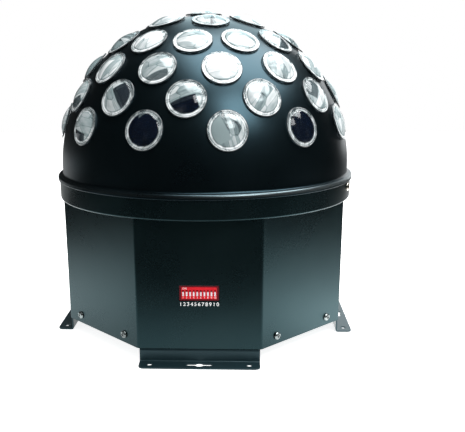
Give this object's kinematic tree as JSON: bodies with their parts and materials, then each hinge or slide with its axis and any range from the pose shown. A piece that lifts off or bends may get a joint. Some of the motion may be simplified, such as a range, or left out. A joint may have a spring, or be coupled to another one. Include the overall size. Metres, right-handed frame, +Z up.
{
  "type": "magic ball light",
  "caption": "Black dome set with rings of clear lenses over an eight-sided steel housing on bracket feet; a perforated bowl turns inside.",
  "frame": {"origin": "on the floor, under the middle of the dome", "axes": "+Z up, the dome's axis; -Y out of the front panel with the ten-way switch; +Y out of the socket panel"},
  "size_m": [0.241, 0.241, 0.2521],
  "materials": {
    "dome_paint": "satin black",
    "housing_paint": "satin dark grey",
    "clear_lens": "polished",
    "bright_screw": "polished",
    "black_screw": "blackened",
    "switch_red": "glossy",
    "lever_white": "matte",
    "board_green": "satin",
    "board_white": "satin",
    "black_plastic": "matte",
    "gloss_black": "glossy",
    "bright_steel": "brushed",
    "black_aluminium": "anodised",
    "aluminium": "satin"
  },
  "bodies": {
    "housing": {"front_cover": "housing_paint", "rear_housing": "housing_paint", "bottom_tray": "housing_paint", "top_deck": "housing_paint", "foot_front": "housing_paint", "foot_right": "housing_paint", "foot_rear": "housing_paint", "foot_left": "housing_paint", "dome_collar": "dome_paint", "dome_shell": "dome_paint", "lens_row_1": "clear_lens", "lens_row_2": "clear_lens", "lens_row_3": "clear_lens", "lens_row_4": "clear_lens", "lens_row_5": "clear_lens", "lens_top": "clear_lens", "collar_screw_1": "bright_screw", "collar_screw_2": "bright_screw", "cover_screw_1": "black_screw", "cover_screw_2": "black_screw", "cover_screw_3": "black_screw", "cover_screw_4": "black_screw", "cover_screw_5": "black_screw", "cover_screw_6": "black_screw", "cover_screw_7": "black_screw", "cover_screw_8": "black_screw", "switch_body": "switch_red", "control_board": "board_green", "fan_frame": "black_plastic", "supply_board": "board_green", "transformer": "bright_steel", "smoothing_capacitor": "black_plastic", "signal_in_socket": "black_plastic", "signal_out_socket": "black_plastic", "power_inlet": "black_plastic", "rocker_frame": "black_plastic", "microphone": "aluminium", "drive_motor": "black_plastic", "heat_sink": "black_aluminium", "led_board": "board_white"},
    "turning_bowl": {"gobo_bowl": "aluminium", "motor_shaft": "bright_steel"},
    "fan": {"fan_rotor": "black_plastic"},
    "lever_1": {"switch_lever_1": "lever_white"},
    "lever_2": {"switch_lever_2": "lever_white"},
    "lever_3": {"switch_lever_3": "lever_white"},
    "lever_4": {"switch_lever_4": "lever_white"},
    "lever_5": {"switch_lever_5": "lever_white"},
    "lever_6": {"switch_lever_6": "lever_white"},
    "lever_7": {"switch_lever_7": "lever_white"},
    "lever_8": {"switch_lever_8": "lever_white"},
    "lever_9": {"switch_lever_9": "lever_white"},
    "lever_10": {"switch_lever_10": "lever_white"},
    "power_rocker": {"rocker": "gloss_black"},
    "fuse": {"fuse_drawer": "black_plastic"},
    "latch": {"signal_out_latch": "bright_steel"}
  },
  "joints": [
    {"name": "bowl_spin", "type": "hinge", "parent": "housing", "child": "turning_bowl", "pos_m": [0, 0, 0.1319], "axis": [0, 0, 1], "continuous": true},
    {"name": "fan_spin", "type": "hinge", "parent": "housing", "child": "fan", "pos_m": [0, 0, 0.021], "axis": [0, 0, 1], "continuous": true},
    {"name": "lever_1_slide", "type": "slide", "parent": "housing", "child": "lever_1", "axis": [0, 0, 1], "range_m": [0, 0.0014]},
    {"name": "lever_2_slide", "type": "slide", "parent": "housing", "child": "lever_2", "axis": [0, 0, 1], "range_m": [0, 0.0014]},
    {"name": "lever_3_slide", "type": "slide", "parent": "housing", "child": "lever_3", "axis": [0, 0, 1], "range_m": [0, 0.0014]},
    {"name": "lever_4_slide", "type": "slide", "parent": "housing", "child": "lever_4", "axis": [0, 0, 1], "range_m": [0, 0.0014]},
    {"name": "lever_5_slide", "type": "slide", "parent": "housing", "child": "lever_5", "axis": [0, 0, 1], "range_m": [0, 0.0014]},
    {"name": "lever_6_slide", "type": "slide", "parent": "housing", "child": "lever_6", "axis": [0, 0, 1], "range_m": [0, 0.0014]},
    {"name": "lever_7_slide", "type": "slide", "parent": "housing", "child": "lever_7", "axis": [0, 0, 1], "range_m": [0, 0.0014]},
    {"name": "lever_8_slide", "type": "slide", "parent": "housing", "child": "lever_8", "axis": [0, 0, 1], "range_m": [0, 0.0014]},
    {"name": "lever_9_slide", "type": "slide", "parent": "housing", "child": "lever_9", "axis": [0, 0, 1], "range_m": [0, 0.0014]},
    {"name": "lever_10_slide", "type": "slide", "parent": "housing", "child": "lever_10", "axis": [0, 0, 1], "range_m": [0, 0.0014]},
    {"name": "rocker_tilt", "type": "hinge", "parent": "housing", "child": "power_rocker", "pos_m": [0.022, 0.107, 0.03883], "axis": [1, 0, 0], "range_deg": [-18, 0]},
    {"name": "fuse_drawer_slide", "type": "slide", "parent": "housing", "child": "fuse", "axis": [0, 1, 0], "range_m": [0, 0.014]},
    {"name": "latch_press", "type": "slide", "parent": "housing", "child": "latch", "axis": [0, -1, 0], "range_m": [0, 0.0015], "stiffness_N_per_m": 300}
  ]
}
